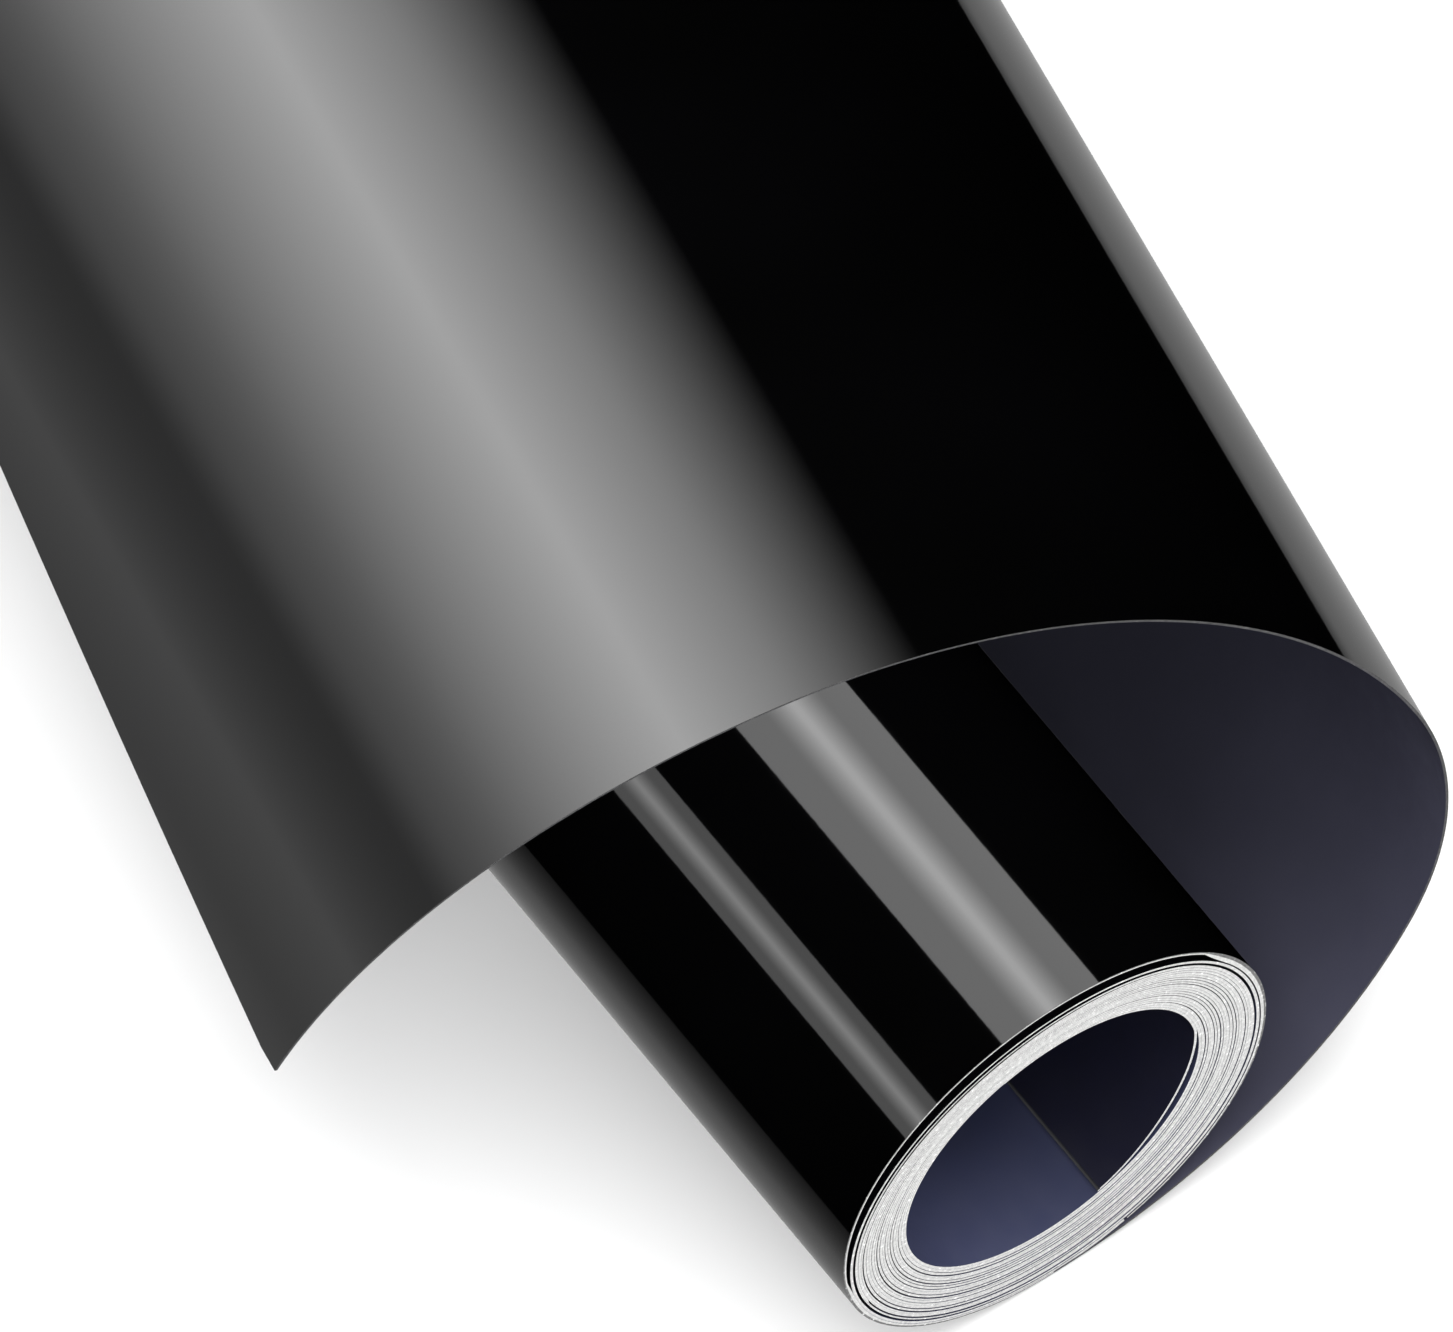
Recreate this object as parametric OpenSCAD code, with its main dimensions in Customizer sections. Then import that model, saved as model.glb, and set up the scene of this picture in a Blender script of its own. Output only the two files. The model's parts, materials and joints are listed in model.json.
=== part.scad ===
/* [Web] */
// Width of the web, along the roll's axis
web_w = 305; // [200:1:320]
// Thickness of the vinyl film with its adhesive coat
film_t = 0.11; // [0.1:0.01:0.12]
// Thickness of the release liner
liner_t = 0.14; // [0.13:0.01:0.15]

/* [Wound roll] */
// Outer radius of the loose outer wrap
wrap_r = 21; // [20.9:0.05:21.3]
// Radius of the tight pack inside the wrap
pack_r = 20.3; // [20.1:0.05:20.35]
// Turns in the outer part of the pack
outer_turns = 15; // [10:1:16]
// Turns in the inner part of the pack, which can telescope
inner_turns = 5; // [3:1:6]
// Air that each turn of the outer part has on its loose side
slack = 0.14; // [0.1:0.01:0.16]
// Radial gap between the two parts of the pack
slide_gap = 0.08; // [0.06:0.01:0.1]
// Where the innermost turn lifts off as a loose tail, in degrees round the bore
tail_root = 10; // [0:1:20]
// Where the loose tail ends, in degrees round the bore
tail_tip = -64; // [-66:1:-50]

/* [Unrolled lead] */
// Angle in plan between the curl's straight lines and the roll's axis
skew = 9.3; // [8:0.1:11]
// Film's free corner that peels off the liner, measured along the curl
tab_s = 20; // [10:1:30]
// Gap between two stretches of the lead where they hinge
fold_gap = 0.2; // [0.15:0.05:0.3]

/* [Hidden] */
$fn = 180;
web_t = film_t + liner_t;

// The pack's turns are half circles between two points on a line through its centre.
// On the tight side of that line the turns touch, and on the loose side they have slack.
tight_a = 110;
tight_dir = [cos(tight_a), sin(tight_a)];
eccentricity = slack * outer_turns / 2 + web_t / 4;
pack_c = -eccentricity * tight_dir;
wrap_drop = 0.3;
wrap_c = pack_c + [0, wrap_drop];
wrap_end = -40;
floor_z = wrap_c.y - wrap_r;
tail_gap = 0.06;
tail_cut = 0.6;

// Curl of the lead's outer face: radius and angle turned through, one row an arc
curl = [[43, 55], [26, 57], [42, 85], [62, 57]];
function arc_len(i) = curl[i][0] * curl[i][1] * PI / 180;
function curl_len(i = 0) = i < len(curl) ? arc_len(i) + curl_len(i + 1) : 0;
end_s = curl_len();
lead_l = end_s / cos(skew);
wedge_s = -web_w * sin(skew);
cut_s = end_s + wedge_s;
blunt_s = 0.4;

// Lines across the lead where one stretch hinges on the next
fold_s = [24, 66, 110];
tab_root_s = end_s - tab_s;
lead_step = 2;

// Both ends of each stretch of the lead
foot_ends = [wedge_s + blunt_s, fold_s[0] - fold_gap / 2];
rise_ends = [fold_s[0] + fold_gap / 2, fold_s[1] - fold_gap / 2];
crown_ends = [fold_s[1] + fold_gap / 2, fold_s[2] - fold_gap / 2];
flap_ends = [fold_s[2] + fold_gap / 2, end_s - blunt_s];
tab_ends = [tab_root_s + fold_gap / 2, flap_ends[1]];

// Where the curl, the cut edge and the peeling corner start
breaks = [0, cut_s, tab_ends[0]];

module film_colour() color([0.03, 0.03, 0.03]) children();
module liner_colour() color([0.16, 0.17, 0.27]) children();

// A round stretch of one layer over the full width of the web, about an axis along Z.
// r is the web's outer radius and depth is how far the layer lies under it.
module layer_arc(r, depth, t, start, sweep) {
    rotate([0, 0, start])
        rotate_extrude(angle = sweep)
            translate([r - depth - t, 0])
                square([t, web_w]);
}

// The same stretch, but clockwise from start
module layer_arc_back(r, depth, t, start, sweep) {
    mirror([1, 0, 0])
        layer_arc(r, depth, t, 180 - start, sweep);
}

// Lays what is drawn about Z along the roll's axis, turned by an angle about a centre
module lay_on(centre, turn) {
    translate([centre.x, web_w, centre.y])
        rotate([90, 0, 0])
            rotate([0, 0, turn])
                children();
}

function tight_at(k) = pack_r - web_t * k;
function loose_at(k) = pack_r - (web_t + slack) * k;
function inner_tight_at(k) = tight_at(outer_turns) - slide_gap - web_t * k;
function inner_loose_at(k) = loose_at(outer_turns) - slide_gap - web_t * k;

// Half turns of the pack, with its tight side up at +Y and its loose side at -Y.
// tight and loose are the distances of the outer face from the pack's centre.
module left_half(tight, loose, depth, t) {
    translate([0, (tight - loose) / 2])
        layer_arc((tight + loose) / 2, depth, t, 90, 180);
}

module right_half(tight, loose, depth, t) {
    translate([0, (tight - loose) / 2])
        layer_arc_back((tight + loose) / 2, depth, t, 90, 180);
}

// A part of a right half, that starts from_top degrees past the tight side
module right_part(tight, loose, depth, t, from_top, sweep) {
    translate([0, (tight - loose) / 2])
        layer_arc_back((tight + loose) / 2, depth, t, 90 - from_top, sweep);
}

// The loose outer turn, from the lead round to where it lies against the pack
module wrap(depth, t) {
    lift = 0.05;
    lay_on(wrap_c, 0) {
        layer_arc(wrap_r, depth, t, 90, 180);
        translate([0, lift])
            layer_arc_back(wrap_r - lift, depth, t, 90, 90 - wrap_end);
    }
}

// The outer part of the pack
module outer_pack(depth, t) {
    lay_on(pack_c, tight_a - 90)
        for (k = [0 : outer_turns - 1]) {
            left_half(tight_at(k), loose_at(k), depth, t);
            right_half(tight_at(k), loose_at(k + 1), depth, t);
        }
}

// The inner part of the pack, whose last turn stops where the tail lifts off
module inner_pack(depth, t) {
    last = inner_turns - 1;
    lay_on(pack_c, tight_a - 90) {
        for (k = [0 : last])
            left_half(inner_tight_at(k), inner_loose_at(k), depth, t);
        for (k = [0 : last - 1])
            right_half(inner_tight_at(k), inner_loose_at(k + 1), depth, t);
        right_part(inner_tight_at(last), inner_loose_at(last + 1), depth, t, 0, tight_a - tail_root);
    }
}

// The loose inner end of the web, lying against the bore
module tail(depth, t) {
    last = inner_turns - 1;
    lay_on(pack_c, tight_a - 90)
        right_part(inner_tight_at(last), inner_loose_at(last + 1), depth + tail_gap, t,
            tight_a - tail_root + tail_cut, tail_root - tail_cut - tail_tip);
}

// Point and heading of the lead's outer face at the distance s along the curl
function curl_at(s, i = 0, p = 0, z = 0, a = 0) =
    let (r = curl[i][0], b = a + s / r * 180 / PI)
    s <= arc_len(i) || i == len(curl) - 1
        ? [p + r * (sin(b) - sin(a)), z + r * (cos(a) - cos(b)), b]
        : curl_at(s - arc_len(i), i + 1,
            p + r * (sin(a + curl[i][1]) - sin(a)),
            z + r * (cos(a) - cos(a + curl[i][1])),
            a + curl[i][1]);

// The lead before it curls lies flat on the floor
function face_at(s) = s < 0 ? [s, 0, 0] : curl_at(s);

// Both ends of the straight line at s, where the web's straight edges cut it
function low_q(s) = s < 0 ? -s / tan(skew) : s * tan(skew);
function high_q(s) = s < cut_s
    ? web_w / cos(skew) + s * tan(skew)
    : lead_l * sin(skew) + (end_s - s) / tan(skew);

// A point of the lead in the roll's frame
function lead_point(s, q, depth) =
    let (f = face_at(s), p = f[0] - depth * sin(f[2]), z = f[1] + depth * cos(f[2]))
    [wrap_c.x + p * cos(skew) + q * sin(skew), -p * sin(skew) + q * cos(skew), floor_z + z];

function ring(s, d0, d1) = [
    lead_point(s, low_q(s), d0), lead_point(s, high_q(s), d0),
    lead_point(s, high_q(s), d1), lead_point(s, low_q(s), d1)
];

function even(s0, s1) =
    let (n = ceil((s1 - s0) / lead_step))
    [for (i = [0 : n]) s0 + (s1 - s0) * i / n];

function drop_last(v) = [for (i = [0 : len(v) - 2]) v[i]];

// Stations from s0 to s1, with those of the breaks that lie between them
function stations(s0, s1) =
    let (next = [for (b = breaks) if (b > s0 && b < s1) b])
    len(next) == 0 ? even(s0, s1) :
    concat(drop_last(even(s0, next[0])), stations(next[0], s1));

// One layer of the lead from s0 to s1, between the depths d0 and d1 under the outer face
module lead_layer(s0, s1, d0, d1) {
    ss = stations(s0, s1);
    n = len(ss);
    points = [for (s = ss) each ring(s, d0, d1)];
    sides = [for (i = [0 : n - 2], j = [0 : 3])
        [4 * i + (j + 1) % 4, 4 * i + j, 4 * i + 4 + j, 4 * i + 4 + (j + 1) % 4]];
    start = [0, 1, 2, 3];
    end = [4 * n - 1, 4 * n - 2, 4 * n - 3, 4 * n - 4];
    polyhedron(points, concat([start], sides, [end]));
}

module film_stretch(s0, s1) film_colour() lead_layer(s0, s1, 0, film_t);
module liner_stretch(s0, s1) liner_colour() lead_layer(s0, s1, film_t, web_t);

module wrap_film() film_colour() wrap(0, film_t);
module wrap_liner() liner_colour() wrap(film_t, liner_t);
module foot_film() film_stretch(foot_ends[0], foot_ends[1]);
module foot_liner() liner_stretch(foot_ends[0], foot_ends[1]);
module rise_film() film_stretch(rise_ends[0], rise_ends[1]);
module rise_liner() liner_stretch(rise_ends[0], rise_ends[1]);
module crown_film() film_stretch(crown_ends[0], crown_ends[1]);
module crown_liner() liner_stretch(crown_ends[0], crown_ends[1]);
module flap_film() film_stretch(flap_ends[0], tab_root_s - fold_gap / 2);
module flap_liner() liner_stretch(flap_ends[0], flap_ends[1]);
module corner_film() film_stretch(tab_ends[0], tab_ends[1]);
module wound_film() film_colour() outer_pack(0, film_t);
module wound_liner() liner_colour() outer_pack(film_t, liner_t);
module inner_film() film_colour() inner_pack(0, film_t);
module inner_liner() liner_colour() inner_pack(film_t, liner_t);
module tail_film() film_colour() tail(0, film_t);
module tail_liner() liner_colour() tail(film_t, liner_t);

wrap_film();
wrap_liner();
foot_film();
foot_liner();
rise_film();
rise_liner();
crown_film();
crown_liner();
flap_film();
flap_liner();
corner_film();
wound_film();
wound_liner();
inner_film();
inner_liner();
tail_film();
tail_liner();
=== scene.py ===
"""Roll of gloss black sign vinyl on its dark-backed release liner, with the outer end curling over the roll.

Sizes are in mm and angles in degrees until a mesh is made, unless a name or comment says otherwise.
The roll's axis is along +Y and its front end is at y = 0. The lead is the unrolled end of the web. On it, s is
the distance along the curl, q the distance across it along its straight lines, and depth the distance in from
the face.
"""

import json
import math

import bpy
import numpy as np
from mathutils import Matrix, Vector

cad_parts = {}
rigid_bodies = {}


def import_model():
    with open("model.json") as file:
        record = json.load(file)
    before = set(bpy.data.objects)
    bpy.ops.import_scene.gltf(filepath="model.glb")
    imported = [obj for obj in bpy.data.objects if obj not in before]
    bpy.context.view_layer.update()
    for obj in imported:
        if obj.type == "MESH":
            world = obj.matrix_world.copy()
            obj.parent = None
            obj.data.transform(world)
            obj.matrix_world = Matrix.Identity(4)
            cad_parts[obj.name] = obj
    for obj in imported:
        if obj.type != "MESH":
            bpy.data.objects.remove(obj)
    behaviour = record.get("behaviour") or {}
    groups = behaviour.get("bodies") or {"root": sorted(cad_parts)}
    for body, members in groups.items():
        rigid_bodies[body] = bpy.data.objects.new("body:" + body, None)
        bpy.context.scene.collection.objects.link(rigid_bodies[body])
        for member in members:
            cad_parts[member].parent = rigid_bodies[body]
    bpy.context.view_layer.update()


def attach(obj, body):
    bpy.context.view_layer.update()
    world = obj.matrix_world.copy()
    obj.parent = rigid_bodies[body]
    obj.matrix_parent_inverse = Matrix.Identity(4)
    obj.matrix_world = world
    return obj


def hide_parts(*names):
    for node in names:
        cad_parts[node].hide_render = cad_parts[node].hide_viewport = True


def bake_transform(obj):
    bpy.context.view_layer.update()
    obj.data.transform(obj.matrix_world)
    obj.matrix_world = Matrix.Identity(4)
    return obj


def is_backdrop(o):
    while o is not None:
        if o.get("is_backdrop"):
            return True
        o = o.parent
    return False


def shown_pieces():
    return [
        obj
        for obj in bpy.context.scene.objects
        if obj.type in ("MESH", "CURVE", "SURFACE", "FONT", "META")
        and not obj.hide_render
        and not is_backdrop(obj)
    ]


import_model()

MM = 0.001

# ---------------------------------------------------------------- sizes, as in the CAD
WEB_W = 305.0
FILM_T = 0.11
LINER_T = 0.14
WEB_T = FILM_T + LINER_T
WRAP_R = 21.0
OUTER_TURNS = 15
INNER_TURNS = 5
SLACK = 0.14
TIGHT_A = 110.0
TAIL_ROOT = 10.0
SKEW = math.radians(9.3)
CURL = [(43.0, 55.0), (26.0, 57.0), (42.0, 85.0), (62.0, 57.0)]  # radius and angle of each arc
TAB_S = 20.0
FOLD_S = [24.0, 66.0, 110.0]

ECCENTRICITY = SLACK * OUTER_TURNS / 2 + WEB_T / 4
TIGHT_DIR = np.array([math.cos(math.radians(TIGHT_A)), math.sin(math.radians(TIGHT_A))])
PACK_C = -ECCENTRICITY * TIGHT_DIR
WRAP_C = PACK_C + np.array([0, 0.3])
FLOOR_Z = WRAP_C[1] - WRAP_R
END_S = sum(r * math.radians(a) for r, a in CURL)
LEAD_L = END_S / math.cos(SKEW)
WEDGE_S = -WEB_W * math.sin(SKEW)
CUT_S = END_S + WEDGE_S
TAB_ROOT_S = END_S - TAB_S

# ---------------------------------------------------------------- how the layers are drawn
FILM_LAYER = (0.0, FILM_T)
LINER_LAYER = (FILM_T, WEB_T)
FILM_SHARE = (0.0, FILM_T / WEB_T)
LINER_SHARE = (FILM_T / WEB_T, 1.0)

BLUNT_S = 0.4
LEAD_CUTS = [WEDGE_S + BLUNT_S, 45.0, 88.0, END_S - BLUNT_S]
LEAD_NODES = [("foot", "rise"), ("crown",), ("flap",)]
BLEND_HALF = [20.5, 21.0, 21.5]
BLEND_Q = 150.0
TAB_BLEND = (0.3, 9.0)
TAB_BLEND_Q = 60.0
ACROSS_POINTS = 24
CURL_STEP, WEDGE_STEP = 1.0, 8.0

# Stations along the roll's axis
AXIAL = np.array([0.0, 0.4, 1.5, 6.0, 30.0, 80.0, 152.5, 225.0, 275.0, 299.0, 303.5, 304.6, 305.0])
ALL_TURNS = OUTER_TURNS + INNER_TURNS
STEPS_PER_TURN = 240
FIRST_TURN, SPLIT_TURN, TAIL_TURN = -0.5, OUTER_TURNS - 0.5, ALL_TURNS - 1.0
SLIP_GAP = 0.0004  # part of a turn missing between the pack and the inner turns, so that they slide clear

BORE_R = 14.17
PACK_EDGE_R = 20.4
DENT_A, DENT_HALF, DENT_DEPTH = 115.0, 85.0, 1.35
OVAL_A, OVAL = 27.0, 0.28
FIRST_TURN_GAP = 0.22
FIRST_TURN_FADE = (0.35, 0.75)
RECESS, RECESS_TURNS = 0.2, 1.5
HAIRLINE = 0.012
LEAST_T = 0.15
LOOSE_TURNS = {3: 0.18, 6: 0.13, 8: 0.20, 11: 0.14, 13: 0.18, 16: 0.15}  # gap after each of these turns
LOOSE_REACH, LOOSE_WOBBLE, LOOSE_PERIOD = 1.2, 0.4, 0.9
END_WOBBLE, END_SEED = 0.025, 5

CLEAR_R = 20.45
WRAP_START = 270.0
WRAP_TIP = -69.4  # the CAD ends the turn at -40; drawn on to where the pack starts, it leaves no step
WRAP_SINK = 0.05
WRAP_FREE = 0.12  # share of the dent from which the turn stands off the pack
WRAP_WOBBLE, WRAP_SEED = 0.02, 3

TAIL_END = -69.0
# Degrees that the loose end's film runs on past its liner: its dark end is put there as a painted shadow line
# beside the tip.
FILM_LIP_SHADOW_LINE = 1.3
LIFT_START = TAIL_ROOT + 6
LIFT, TIP_LIFT = 0.75, 0.12
LIFT_LEAN, LIFT_SHARP = 0.85, 1.3
TAIL_STEP = 0.5


# ---------------------------------------------------------------- the lead's curl
def face_at(s):
    """Place and heading of the lead's outer face at the distance s along the curl."""
    if s < 0:
        return s, 0.0, 0.0
    p = z = a = 0.0
    for i, (r, turn) in enumerate(CURL):
        length = r * math.radians(turn)
        run = s if i == len(CURL) - 1 else min(s, length)
        b = a + run / r
        p += r * (math.sin(b) - math.sin(a))
        z += r * (math.cos(a) - math.cos(b))
        a = b
        s -= run
        if s <= 0:
            break
    return p, z, a


def low_q(s):
    """The front edge of the lead: square to the roll's axis on the wedge, along the web past it."""
    return -s / math.tan(SKEW) if s < 0 else s * math.tan(SKEW)


def high_q(s):
    """The far edge of the lead, up to the straight cut that ends it."""
    if s < CUT_S:
        return WEB_W / math.cos(SKEW) + s * math.tan(SKEW)
    return LEAD_L * math.sin(SKEW) + (END_S - s) / math.tan(SKEW)


def lead_point(s, q, depth):
    """A point of the lead in the roll's frame, in mm."""
    p, z, a = face_at(s)
    p -= depth * math.sin(a)
    z += depth * math.cos(a)
    return (
        WRAP_C[0] + p * math.cos(SKEW) + q * math.sin(SKEW),
        -p * math.sin(SKEW) + q * math.cos(SKEW),
        FLOOR_Z + z,
    )


def face_point(s, q):
    """A point of the lead's outer face, in metres."""
    return [c * MM for c in lead_point(s, q, 0)]


# ---------------------------------------------------------------- mesh of a stretch of one layer
def slab(name, upper, lower, normals, faces_mat=(0, 1), tip_mat=None):
    """A closed sheet between two grids of points (metres), with smooth faces and a cut edge all round.

    upper is the grid on the side that along x across points to. normals holds a grid of normals for each
    side, faces_mat the material slot of each. The cut edge takes slot 2, but tip_mat at the sheet's far end."""
    nu, nv = upper.shape[:2]
    verts = np.concatenate([upper.reshape(-1, 3), lower.reshape(-1, 3)])
    idx = np.arange(nu * nv).reshape(nu, nv)
    a, b, c, d = idx[:-1, :-1], idx[1:, :-1], idx[1:, 1:], idx[:-1, 1:]
    top = np.stack([a, b, c, d], -1).reshape(-1, 4)
    low = np.stack([a, d, c, b], -1).reshape(-1, 4) + nu * nv
    ring = np.concatenate([idx[:, 0], idx[-1, 1:], idx[-2::-1, -1], idx[0, -2:0:-1]])
    following = np.roll(ring, -1)
    rim = np.stack([following, ring, ring + nu * nv, following + nu * nv], -1)
    faces = np.concatenate([top, low, rim])
    mesh = bpy.data.meshes.new(name)
    mesh.vertices.add(len(verts))
    mesh.vertices.foreach_set("co", verts.ravel())
    mesh.loops.add(faces.size)
    mesh.loops.foreach_set("vertex_index", faces.ravel())
    mesh.polygons.add(len(faces))
    mesh.polygons.foreach_set("loop_start", np.arange(0, faces.size, 4))
    mesh.polygons.foreach_set("loop_total", np.full(len(faces), 4))
    mats = np.repeat([faces_mat[0], faces_mat[1], 2], [len(top), len(low), len(rim)])
    if tip_mat is not None:
        tip = len(top) + len(low) + nu - 1
        mats[tip : tip + nv - 1] = tip_mat
    mesh.polygons.foreach_set("material_index", mats)
    mesh.update(calc_edges=True)
    mesh.polygons.foreach_set("use_smooth", np.ones(len(faces), bool))
    vertex_n = np.concatenate([side.reshape(-1, 3) for side in normals])
    loop_n = vertex_n[faces.ravel()]
    quad = verts[rim]
    flat = np.cross(quad[:, 2] - quad[:, 0], quad[:, 3] - quad[:, 1])
    flat /= np.maximum(np.linalg.norm(flat, axis=1, keepdims=True), 1e-15)
    loop_n[-rim.size :] = np.repeat(flat, 4, axis=0)
    mesh.normals_split_custom_set(loop_n.tolist())
    obj = bpy.data.objects.new(name, mesh)
    bpy.context.collection.objects.link(obj)
    return obj


def give(obj, *materials):
    for m in materials:
        obj.data.materials.append(m)
    return obj


# ---------------------------------------------------------------- materials
def new_material(name):
    m = bpy.data.materials.new(name)
    m.use_nodes = True
    nt = m.node_tree
    return m, nt, nt.nodes["Principled BSDF"]


def object_coords(nt):
    tex = nt.nodes.new("ShaderNodeTexCoord")
    return tex.outputs["Object"]


def noise(nt, scale, detail=3.0, roughness=0.5):
    """Noise over the object's own coordinates: scale is in features a metre."""
    n = nt.nodes.new("ShaderNodeTexNoise")
    for key, value in (("Scale", scale), ("Detail", detail), ("Roughness", roughness)):
        n.inputs[key].default_value = value
    nt.links.new(object_coords(nt), n.inputs["Vector"])
    return n.outputs["Fac"]


def ramp(nt, fac, stops):
    r = nt.nodes.new("ShaderNodeValToRGB")
    nt.links.new(fac, r.inputs["Fac"])
    while len(r.color_ramp.elements) < len(stops):
        r.color_ramp.elements.new(0.5)
    for e, (pos, col) in zip(r.color_ramp.elements, stops):
        e.position = pos
        e.color = (*col, 1)
    return r.outputs["Color"]


def map_range(nt, fac, lo, hi, out_lo, out_hi):
    r = nt.nodes.new("ShaderNodeMapRange")
    for key, value in zip(("From Min", "From Max", "To Min", "To Max"), (lo, hi, out_lo, out_hi)):
        r.inputs[key].default_value = value
    nt.links.new(fac, r.inputs["Value"])
    return r.outputs["Result"]


NOISE_LOW, NOISE_HIGH = 0.3, 0.7  # the part of the noise's range that it really fills


def tinted(nt, bsdf, fac, dark, light):
    tint = ramp(nt, fac, [(NOISE_LOW, dark), (NOISE_HIGH, light)])
    nt.links.new(tint, bsdf.inputs["Base Color"])


def roughened(nt, bsdf, fac, low, high):
    rough = map_range(nt, fac, NOISE_LOW, NOISE_HIGH, low, high)
    nt.links.new(rough, bsdf.inputs["Roughness"])


def bump(nt, bsdf, height, strength, distance):
    b = nt.nodes.new("ShaderNodeBump")
    b.inputs["Strength"].default_value = strength
    b.inputs["Distance"].default_value = distance
    nt.links.new(height, b.inputs["Height"])
    nt.links.new(b.outputs["Normal"], bsdf.inputs["Normal"])


def film_face():
    """Gloss black PVC: near black, with the fine orange peel that calendered film has."""
    m, nt, bsdf = new_material("film_gloss_black")
    tinted(nt, bsdf, noise(nt, 35.0), (0.0003, 0.0003, 0.0003), (0.0005, 0.0005, 0.0006))
    roughened(nt, bsdf, noise(nt, 220.0, 4.0), 0.035, 0.05)
    bsdf.inputs["IOR"].default_value = 1.5
    bump(nt, bsdf, noise(nt, 900.0, 2.0), 0.02, 0.00004)
    return m


def film_underside():
    """The adhesive side of the film: clear grey glue over black."""
    m, nt, bsdf = new_material("film_adhesive")
    tinted(nt, bsdf, noise(nt, 120.0), (0.02, 0.02, 0.022), (0.035, 0.035, 0.038))
    roughened(nt, bsdf, noise(nt, 600.0, 4.0), 0.35, 0.5)
    bump(nt, bsdf, noise(nt, 1500.0), 0.1, 0.00005)
    return m


def liner_back(name, dark, light):
    """Back of the liner: matte paper printed a dark navy grey, with its fibres just showing. The bore's copy is
    lighter and bluer, which is painted light, and the loose end's copy is darker, which is painted shade.
    """
    m, nt, bsdf = new_material(name)
    tinted(nt, bsdf, noise(nt, 60.0, 5.0), dark, light)
    roughened(nt, bsdf, noise(nt, 500.0, 4.0), 0.42, 0.55)
    bump(nt, bsdf, noise(nt, 2500.0, 4.0), 0.15, 0.00004)
    return m


def liner_front():
    """Silicone-coated face of the liner, where the film has peeled away: smooth off-white."""
    m, nt, bsdf = new_material("liner_release_face")
    tinted(nt, bsdf, noise(nt, 90.0), (0.74, 0.73, 0.69), (0.80, 0.79, 0.76))
    roughened(nt, bsdf, noise(nt, 400.0, 4.0), 0.25, 0.35)
    return m


def cut_edge(name, dark, light, speck=0.95):
    """Slit edge: fibres between two greys, with specks of dust of the grey level speck."""
    m, nt, bsdf = new_material(name)
    stops = [(NOISE_LOW, dark), (0.6, light), (0.72, (speck, speck, speck))]
    nt.links.new(ramp(nt, noise(nt, 2600.0, 4.0, 0.7), stops), bsdf.inputs["Base Color"])
    roughened(nt, bsdf, noise(nt, 900.0), 0.6, 0.8)
    bump(nt, bsdf, noise(nt, 4000.0), 0.3, 0.0001)
    return m


FILM = film_face()
ADHESIVE = film_underside()
LINER = liner_back("liner_navy_back", (0.054, 0.054, 0.084), (0.068, 0.068, 0.104))
# Lighter and bluer than the liner's back elsewhere: painted light on the bore's wall.
BORE_LINER_PAINTED_LIGHT = liner_back("liner_bore_back_painted_light", (0.031, 0.037, 0.086), (0.046, 0.052, 0.108))
# Much darker than the liner's back elsewhere: painted shade on the loose end.
TAIL_LINER_PAINTED_SHADE = liner_back("liner_tail_back_painted_shade", (0.008, 0.008, 0.022), (0.012, 0.012, 0.030))
RELEASE = liner_front()
FILM_EDGE = cut_edge("film_cut_edge", (0.26, 0.26, 0.26), (0.40, 0.40, 0.40))
LINER_EDGE = cut_edge("liner_cut_edge", (0.40, 0.40, 0.40), (0.58, 0.58, 0.57))
LEAD_FILM_EDGE = cut_edge("lead_film_cut_edge", (0.02, 0.02, 0.02), (0.04, 0.04, 0.04), 0.06)
# Near black edge at the loose end's tip: a painted shadow line beside the lifted tip.
TIP_SHADOW_EDGE = cut_edge("tip_edge_painted_shadow", (0.004, 0.004, 0.010), (0.008, 0.008, 0.018), 0.01)
WRAP_FILM_EDGE = cut_edge("wrap_film_cut_edge", (0.05, 0.05, 0.05), (0.12, 0.12, 0.12))
LEAD_LINER_EDGE = cut_edge("lead_liner_cut_edge", (0.045, 0.045, 0.05), (0.08, 0.08, 0.085), 0.14)

# Outer face, inner face and cut edge of each layer, and the cut edge at the tip of the loose end
LEAD_MATS = {"film": (FILM, ADHESIVE, LEAD_FILM_EDGE), "liner": (RELEASE, LINER, LEAD_LINER_EDGE)}
WRAP_MATS = {"film": (FILM, ADHESIVE, WRAP_FILM_EDGE), "liner": (RELEASE, LINER, LINER_EDGE)}
# The pack's liner back is the bore's copy, with painted light.
PACK_MATS = {"film": (FILM, ADHESIVE, FILM_EDGE), "liner": (RELEASE, BORE_LINER_PAINTED_LIGHT, LINER_EDGE)}
# The loose end's liner back carries painted shade, and its tip edge is a painted shadow line.
TAIL_MATS = {
    "film": (FILM, ADHESIVE, FILM_EDGE, TIP_SHADOW_EDGE),
    "liner": (RELEASE, TAIL_LINER_PAINTED_SHADE, LINER_EDGE, TIP_SHADOW_EDGE),
}
LAYERS = {"film": FILM_LAYER, "liner": LINER_LAYER}
SHARES = {"film": FILM_SHARE, "liner": LINER_SHARE}


# ---------------------------------------------------------------- lead pieces
def stations(s0, s1):
    """Distances along the curl from s0 to s1, with one at each end of the part that is square to it."""
    marks = [s0] + [m for m in (0.0, CUT_S) if s0 < m < s1] + [s1]
    out = []
    for a, b in zip(marks, marks[1:]):
        n = max(1, math.ceil((b - a) / (CURL_STEP if a >= 0 else WEDGE_STEP)))
        out += [a + (b - a) * i / n for i in range(n)]
    return out + [s1]


def lead_grid(ss, depth):
    rows = []
    for s in ss:
        lo, hi = low_q(s), high_q(s)
        across = [lo + (hi - lo) * j / (ACROSS_POINTS - 1) for j in range(ACROSS_POINTS)]
        rows.append([lead_point(s, q, depth) for q in across])
    return np.array(rows) * MM


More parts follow.
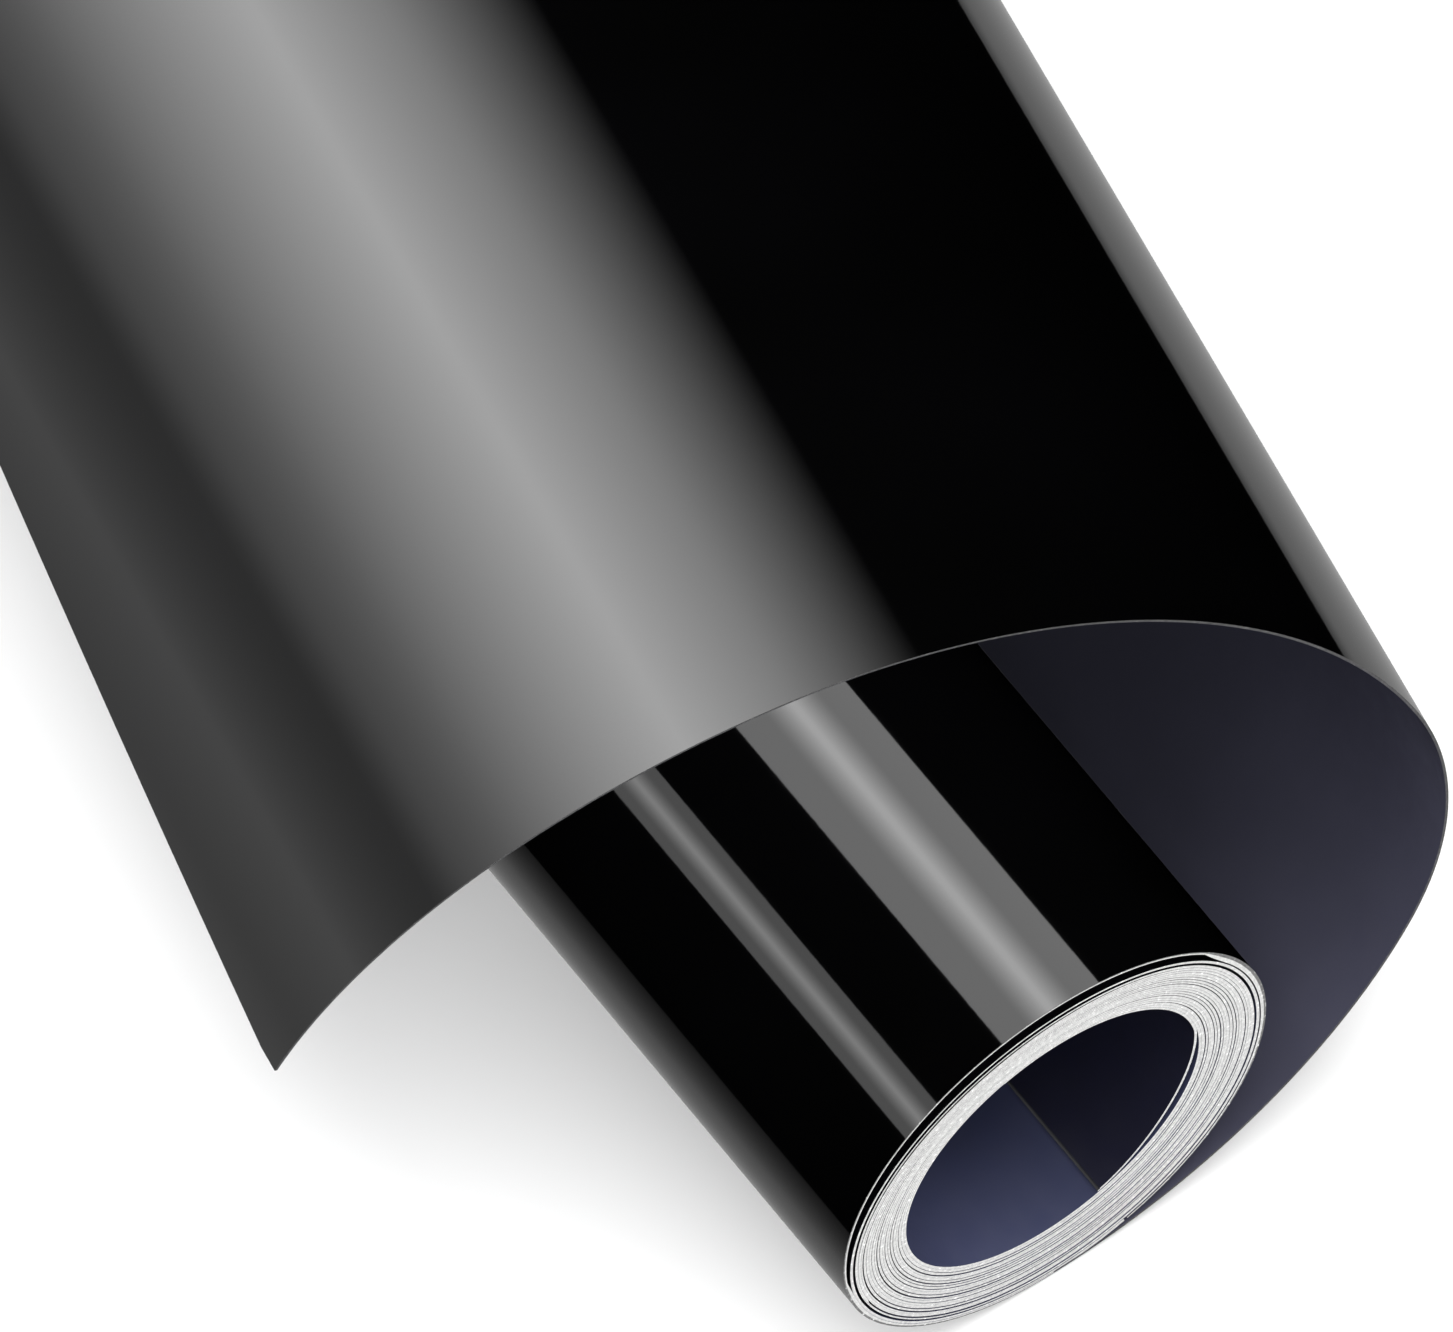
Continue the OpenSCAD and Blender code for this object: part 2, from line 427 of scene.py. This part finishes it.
def lead_normals(ss):
    """Normals of the outer face, one for each point of its grid."""
    rows = []
    for s in ss:
        a = face_at(s)[2]
        n = np.array([math.sin(a) * math.cos(SKEW), -math.sin(a) * math.sin(SKEW), -math.cos(a)])
        rows.append(np.tile(n, (ACROSS_POINTS, 1)))
    return np.array(rows)


def lead_piece(name, s0, s1, kind):
    ss = stations(s0, s1)
    outer, inner = (lead_grid(ss, depth) for depth in LAYERS[kind])
    n = lead_normals(ss)
    # along x across points to the inner face here
    obj = slab(name, inner, outer, (-n, n), faces_mat=(1, 0))
    give(obj, *LEAD_MATS[kind])
    return obj


def lead_stretch(i, kind):
    """The lead between two cuts."""
    end = TAB_ROOT_S if kind == "film" and i == len(LEAD_NODES) - 1 else LEAD_CUTS[i + 1]
    piece = lead_piece(f"lead_{kind}_{i + 1}", LEAD_CUTS[i], end, kind)
    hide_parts(*[f"{n}_{kind}" for n in LEAD_NODES[i]])
    face_point(FOLD_S[i] - BLEND_HALF[i], BLEND_Q)
    face_point(FOLD_S[i] + BLEND_HALF[i], BLEND_Q)
    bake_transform(piece)
    return piece


def corner_tab():
    """The film at the free corner, a piece of its own on the liner."""
    piece = lead_piece("corner_film_tab", TAB_ROOT_S, LEAD_CUTS[-1], "film")
    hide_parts("corner_film")
    face_point(TAB_ROOT_S + TAB_BLEND[0], TAB_BLEND_Q)
    face_point(TAB_ROOT_S + TAB_BLEND[1], TAB_BLEND_Q)
    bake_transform(piece)
    return piece


lead_films, lead_liners = [], []
for stretch in range(len(LEAD_NODES)):
    lead_films.append(lead_stretch(stretch, "film"))
    lead_liners.append(lead_stretch(stretch, "liner"))
corner = corner_tab()


# ---------------------------------------------------------------- the roll
def wave(x, seed, amp, period):
    """A smooth repeatable wobble of x."""
    rng = np.random.default_rng(seed)
    total = np.zeros_like(x)
    for k in range(1, 6):
        total += rng.normal() / k * np.sin(2 * math.pi * k * x / period + rng.uniform(0, 2 * math.pi))
    return amp * total / 1.5


def smooth_step(x, lo, hi):
    t = np.clip((x - lo) / (hi - lo), 0, 1)
    return t * t * (3 - 2 * t)


def wound_layer(name, angles, radii, thickness, centre, kind, shift, mats):
    """One layer of a wound stretch: radii and thickness are the web's outer radius and thickness at each
    angle, and shift is how far back its front end is there. A fourth material in mats is for the tip."""
    t = np.radians(angles)
    grids = []
    for part in SHARES[kind]:
        r = radii - part * thickness
        g = np.empty((len(t), len(AXIAL), 3))
        g[..., 0] = (centre[0] + r * np.cos(t))[:, None]
        g[..., 1] = AXIAL[None, :] + shift[:, None]
        g[..., 2] = (centre[1] + r * np.sin(t))[:, None]
        grids.append(g * MM)
    outer, inner = grids
    dr = np.gradient(radii, t)
    n = np.stack(
        [
            radii * np.cos(t) + dr * np.sin(t),
            np.zeros_like(t),
            radii * np.sin(t) - dr * np.cos(t),
        ],
        -1,
    )
    n /= np.linalg.norm(n, axis=1, keepdims=True)
    n = np.repeat(n[:, None, :], len(AXIAL), axis=1)
    # angles run down, so along x across points outward
    obj = slab(name, outer, inner, (n, -n), tip_mat=3 if len(mats) > 3 else None)
    give(obj, *mats)
    return obj


def arc_angles(start, stop, step=1.0):
    n = max(2, int(abs(stop - start) / step) + 1)
    return np.linspace(start, stop, n)


def loose_side(angles):
    """0 on the tight side of the pack, 1 opposite to it."""
    return (1 - np.cos(np.radians(angles - TIGHT_A))) / 2


def dent(angles):
    """1 where the pack is pressed flattest under the outer turn, 0 away from there."""
    off = (angles - DENT_A + 180) % 360 - 180
    return np.cos(math.pi / 2 * np.clip(off / DENT_HALF, -1, 1)) ** 2


def turn_radius(turns, angles):
    """Outer radius of the web after so many turns, from the pack's edge in to the bore's wall."""
    edge = PACK_EDGE_R - DENT_DEPTH * dent(angles) - FIRST_TURN_GAP * smooth_step(turns, *FIRST_TURN_FADE)
    wall = BORE_R + np.linalg.norm(PACK_C) * np.cos(np.radians(angles - TIGHT_A))
    wall += OVAL * np.cos(np.radians(2 * (angles - OVAL_A)))
    share = turns / ALL_TURNS
    return edge * (1 - share) + wall * share


def turn_thickness(turns, angles):
    """What a turn fills of its pitch: all but a hairline, and less on the loose side of a few turns."""
    gap = np.full_like(angles, HAIRLINE)
    for turn, width in LOOSE_TURNS.items():
        near = np.clip(LOOSE_REACH - abs(turns - turn), 0, 1)
        wobble = 1 + LOOSE_WOBBLE * wave(turns, turn, 1.0, LOOSE_PERIOD)
        gap += width * near * loose_side(angles) * wobble
    gap += FIRST_TURN_GAP * (turns < FIRST_TURN_FADE[1]) * smooth_step(turns + 1, *FIRST_TURN_FADE)
    return np.maximum(turn_radius(turns, angles) - turn_radius(turns + 1, angles) - gap, LEAST_T)


def wound_stretch(name, body, kind, turn0, turn1, node_name):
    turns = np.linspace(turn0, turn1, int((turn1 - turn0) * STEPS_PER_TURN) + 1)
    angles = TIGHT_A - 360 * turns
    recess = RECESS * dent(angles) * np.clip(RECESS_TURNS - turns, 0, 1)
    obj = wound_layer(
        name,
        angles,
        turn_radius(turns, angles),
        turn_thickness(turns, angles),
        PACK_C,
        kind,
        recess + wave(turns, END_SEED, END_WOBBLE, ALL_TURNS),
        PACK_MATS[kind],
    )
    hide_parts(node_name)
    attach(obj, body)
    return obj


def outer_wrap(kind):
    """The outermost turn. Away from the dent it is drawn up to the pack that it lies on."""
    angles = np.concatenate([arc_angles(WRAP_START, 90), arc_angles(89, WRAP_TIP)])
    t = np.radians(angles)
    sink = np.where(angles < 90, WRAP_SINK, 0.0)
    radii = WRAP_R - sink + sink * np.sin(t)
    off = PACK_C - WRAP_C
    along = off[0] * np.cos(t) + off[1] * np.sin(t)
    reach = along + np.sqrt(CLEAR_R**2 - (off @ off - along**2))
    free = smooth_step(dent(angles), 0.0, WRAP_FREE)
    obj = wound_layer(
        f"outer_wrap_{kind}",
        angles,
        radii,
        np.maximum(WEB_T, (radii - reach) * (1 - free)),
        WRAP_C,
        kind,
        wave(angles, WRAP_SEED, WRAP_WOBBLE, 360),
        WRAP_MATS[kind],
    )
    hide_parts(f"wrap_{kind}")
    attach(obj, "outer_wrap")
    return obj


def tail_piece(kind):
    """The last half turn and the loose end past it, which stands off the wall between root and tip."""
    # The film runs on past the liner's tip as a painted shadow line.
    angles = arc_angles(TIGHT_A, TAIL_END - FILM_LIP_SHADOW_LINE if kind == "film" else TAIL_END, TAIL_STEP)
    turns = TAIL_TURN + (TIGHT_A - angles) / 360
    share = np.clip((LIFT_START - angles) / (LIFT_START - TAIL_END), 0, 1)
    lift = LIFT * np.sin(math.pi * share**LIFT_LEAN) ** LIFT_SHARP + TIP_LIFT * share
    obj = wound_layer(
        f"loose_tail_{kind}",
        angles,
        turn_radius(turns, angles) - lift,
        np.full_like(angles, WEB_T),
        PACK_C,
        kind,
        wave(turns, END_SEED, END_WOBBLE, ALL_TURNS),
        TAIL_MATS[kind],
    )
    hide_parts(f"tail_{kind}")
    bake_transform(obj)
    return obj


roll = []
for kind in ("film", "liner"):
    roll.append(outer_wrap(kind))
    pack_end = SPLIT_TURN - SLIP_GAP
    roll.append(wound_stretch(f"pack_{kind}", "wound_pack", kind, FIRST_TURN, pack_end, f"wound_{kind}"))
for kind in ("film", "liner"):
    name, node_name = f"inner_turns_{kind}", f"inner_{kind}"
    roll.append(wound_stretch(name, "inner_turns", kind, SPLIT_TURN, TAIL_TURN, node_name))
tails = [tail_piece("film"), tail_piece("liner")]


# ---------------------------------------------------------------- floor, light and camera (in metres)
FLOOR_HALF = 30.0
FLOOR_GAP = 0.0002
WORLD_STRENGTH = 1.15

# Softboxes on a panel: middle, half of the flat part, feather (degrees round the axis) and radiance
SHEET_BOXES = [(126.5, 0, 47, 8.8), (247, 80, 10, 0.5), (194, 0, 18, 0.45)]
WIDE_BOXES = [(74, 27, 1, 3.35), (74, 0, 12.5, 5.7)]
NARROW_BOXES = [(150, 11, 1, 1.65), (150, 0, 6.5, 3.25)]
LOW_BOXES = [(262, 16, 36, 0.38)]
FEATHER_POWER = 1.3

# Panels: middle and half of the angle that each fills round the axis
SHEET_STRIPS = [(93, 28), (149, 28), (205, 28), (305, 26)]
ROLL_PANELS = [
    ("wide", 74, 26.3, WIDE_BOXES),
    ("narrow", 150, 10.8, NARROW_BOXES),
    ("low", 257, 35, LOW_BOXES),
]
PANEL_AWAY, PANEL_LONG, PANEL_Y, PANEL_STOPS = 3.0, 30.0, 0.15, 30

# Area lights: place, aim, side and radiance
FRONT_FILL = ((-0.8, -1.6, 1.8), (0, 0.05, 0), 1.2, 0.8)
TOP_SOFT = ((0.0, 0.1, 3.0), (0, 0.1, 0), 2.8, 2.6)
LEFT_FILL = ((-1.8, -2.1, 1.9), (0, 0.1, 0), 1.8, 6.5)
RIGHT_KEY = ((1.6, -0.5, 1.6), (0, 0.1, 0), 1.5, 4.0)

CAMERA_AZIMUTH, CAMERA_ELEVATION = math.radians(-35.7), math.radians(58.7)
CAMERA_LENS, SENSOR, FRAME_WIDTH = 1200.0, 36.0, 0.1168
CAMERA_RIGHT, CAMERA_UP = -0.02644, 0.0381  # the picture's middle, from the roll's front end


def floor():
    m, nt, bsdf = new_material("studio_paper")
    tinted(nt, bsdf, noise(nt, 6.0), (0.86, 0.86, 0.86), (0.88, 0.88, 0.88))
    bsdf.inputs["Roughness"].default_value = 0.9
    h, z = FLOOR_HALF, FLOOR_Z * MM - FLOOR_GAP
    mesh = bpy.data.meshes.new("floor")
    mesh.from_pydata([(-h, -h, z), (h, -h, z), (h, h, z), (-h, h, z)], [], [(0, 1, 2, 3)])
    obj = bpy.data.objects.new("floor", mesh)
    bpy.context.collection.objects.link(obj)
    give(obj, m)
    obj.visible_glossy = False
    obj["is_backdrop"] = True


def linked(light, role, objects, state):
    """Limits a light by object: role says whether they receive it or block it, state whether only they do
    or all but they do."""
    group = bpy.data.collections.new(f"{light.name}_{role}")
    for o in objects:
        group.objects.link(o)
    for item in group.collection_objects:
        item.light_linking.link_state = state
    setattr(light.light_linking, f"{role}_collection", group)


def new_light(name, width, length, radiance):
    light = bpy.data.lights.new(name, "AREA")
    light.shape = "RECTANGLE"
    light.size, light.size_y = width, length
    light.energy = radiance * math.pi * width * length
    obj = bpy.data.objects.new(name, light)
    obj.visible_camera = False
    bpy.context.collection.objects.link(obj)
    return obj


def area_light(name, place, aim, side, radiance):
    obj = new_light(name, side, side, radiance)
    obj.location = place
    obj.rotation_euler = (Vector(aim) - Vector(place)).to_track_quat("-Z", "Y").to_euler()
    return obj


def radiance_at(angle, boxes):
    """Sum of the softboxes at an angle round the axis."""
    total = 0.0
    for middle, flat, feather, radiance in boxes:
        past = max(0.0, (abs(angle - middle) - flat) / feather)
        total += radiance * max(0.0, 1 - past) ** FEATHER_POWER
    return total


def panel(name, axis, middle, half, boxes, films, clear):
    """A long strip along axis, middle +- half degrees round it, lit as the softboxes in boxes.

    It lights only the films, and the objects in clear never shade it."""
    side = Vector((axis.y, -axis.x, 0))
    out = side * math.cos(math.radians(middle)) + Vector((0, 0, 1)) * math.sin(math.radians(middle))
    width = 2 * PANEL_AWAY * math.tan(math.radians(half))
    places = []
    for i in range(PANEL_STOPS):
        u = i / (PANEL_STOPS - 1)
        angle = middle + math.degrees(math.atan((0.5 - u) * width / PANEL_AWAY))
        places.append((u, radiance_at(angle, boxes)))
    peak = max(level for _, level in places)
    obj = new_light(name, width, PANEL_LONG, 1.0)
    obj.data.use_nodes = True
    nt = obj.data.node_tree
    geometry = nt.nodes.new("ShaderNodeNewGeometry")
    split = nt.nodes.new("ShaderNodeSeparateXYZ")
    nt.links.new(geometry.outputs["Parametric"], split.inputs[0])
    colours = ramp(nt, split.outputs["X"], [(u, (level / peak,) * 3) for u, level in places])
    emission = nt.nodes["Emission"]
    emission.inputs["Strength"].default_value = peak
    nt.links.new(colours, emission.inputs["Color"])
    rotation = Matrix((axis.cross(out), axis, out)).transposed()
    obj.matrix_world = Matrix.Translation(axis * PANEL_Y + out * PANEL_AWAY) @ rotation.to_4x4()
    linked(obj, "receiver", films, "INCLUDE")
    linked(obj, "blocker", clear, "EXCLUDE")


def world_light():
    world = bpy.data.worlds.new("studio")
    bpy.context.scene.world = world
    world.use_nodes = True
    background = world.node_tree.nodes["Background"]
    background.inputs["Color"].default_value = (1, 1, 1, 1)
    background.inputs["Strength"].default_value = WORLD_STRENGTH
    world.cycles_visibility.glossy = False


def film_panels(lead, wound, stage):
    """The highlights on the films. In the photo nothing shades those on the lead and the outer turn."""
    shown = list(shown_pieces()) + stage
    ruling = Vector((math.sin(SKEW), math.cos(SKEW), 0))
    straight = Vector((0, 1, 0))
    for i, (middle, half) in enumerate(SHEET_STRIPS):
        panel(f"sheet_panel_{i}", ruling, middle, half, SHEET_BOXES, lead, shown)
    for layer, films, clear in (("wrap", wound[:1], shown), ("pack", wound[1:], stage)):
        for kind, middle, half, boxes in ROLL_PANELS:
            panel(f"{layer}_{kind}_panel", straight, middle, half, boxes, films, clear)


def soft_lights(films, stage):
    """The soft light on everything that the panels don't light: the liner, the cut edges and the floor."""
    linked(area_light("front_fill", *FRONT_FILL), "receiver", films + stage, "EXCLUDE")
    linked(area_light("top_soft", *TOP_SOFT), "receiver", films, "EXCLUDE")
    linked(area_light("left_fill", *LEFT_FILL), "receiver", stage, "INCLUDE")
    linked(area_light("right_key", *RIGHT_KEY), "receiver", films + stage, "EXCLUDE")


def studio():
    world_light()
    stage = [o for o in bpy.context.scene.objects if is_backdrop(o)]
    for piece in lead_films + lead_liners + [corner]:
        piece.visible_glossy = False
    lead = lead_films + [corner]
    wound = [o for o in roll + tails if o.name.endswith("film")]
    film_panels(lead, wound, stage)
    soft_lights(lead + wound, stage)


def camera():
    """A long lens, as the photo has next to no perspective."""
    back = Vector(
        (
            math.sin(CAMERA_AZIMUTH) * math.cos(CAMERA_ELEVATION),
            -math.cos(CAMERA_AZIMUTH) * math.cos(CAMERA_ELEVATION),
            math.sin(CAMERA_ELEVATION),
        )
    )
    right = Vector((math.cos(CAMERA_AZIMUTH), math.sin(CAMERA_AZIMUTH), 0))
    up = back.cross(right)
    centre = Vector((WRAP_C[0], 0, WRAP_C[1])) * MM + right * CAMERA_RIGHT + up * CAMERA_UP
    data = bpy.data.cameras.new("camera")
    data.lens, data.sensor_width = CAMERA_LENS, SENSOR
    data.clip_start, data.clip_end = 0.1, 100.0
    obj = bpy.data.objects.new("camera", data)
    obj.location = centre + back * (CAMERA_LENS * FRAME_WIDTH / SENSOR)
    obj.rotation_mode = "QUATERNION"
    obj.rotation_quaternion = (-back).to_track_quat("-Z", "Y")
    bpy.context.collection.objects.link(obj)
    bpy.context.scene.camera = obj


floor()
studio()
camera()
bpy.context.scene.view_settings.view_transform = "Standard"
